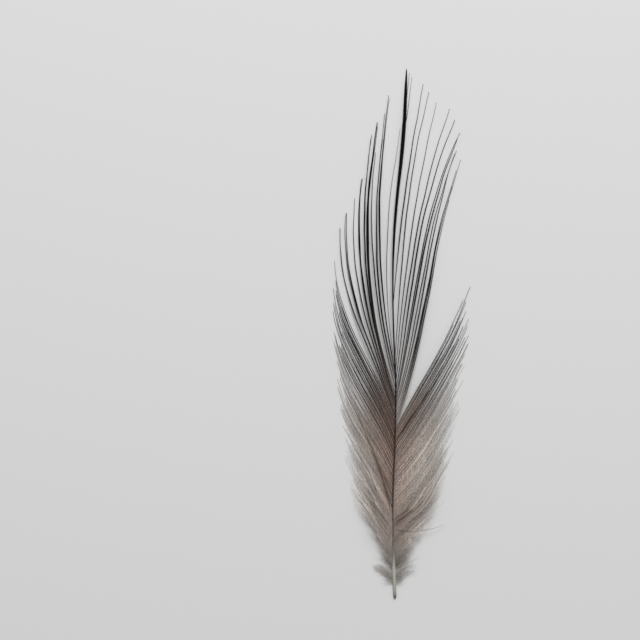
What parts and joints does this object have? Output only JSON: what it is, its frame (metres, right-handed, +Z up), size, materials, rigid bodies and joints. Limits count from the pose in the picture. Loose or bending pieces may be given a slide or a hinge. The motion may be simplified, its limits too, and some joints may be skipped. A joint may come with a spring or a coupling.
{
  "type": "heron feather",
  "caption": "Long heron plume lying flat: bare quill, thin dark shaft, downy base and open vanes of loose barbs that run up into a narrow black tip.",
  "frame": {"origin": "on the surface that the feather lies on, under the middle of its outline", "axes": "+Y from the quill to the tip, +Z up out of the upper side, +X to the right seen from above"},
  "size_m": [0.0392, 0.15, 0.0044],
  "materials": {
    "barbs": "matt",
    "down": "matt",
    "shaft": "satin"
  },
  "bodies": {
    "root": {"feather": "barbs"}
  },
  "joints": []
}
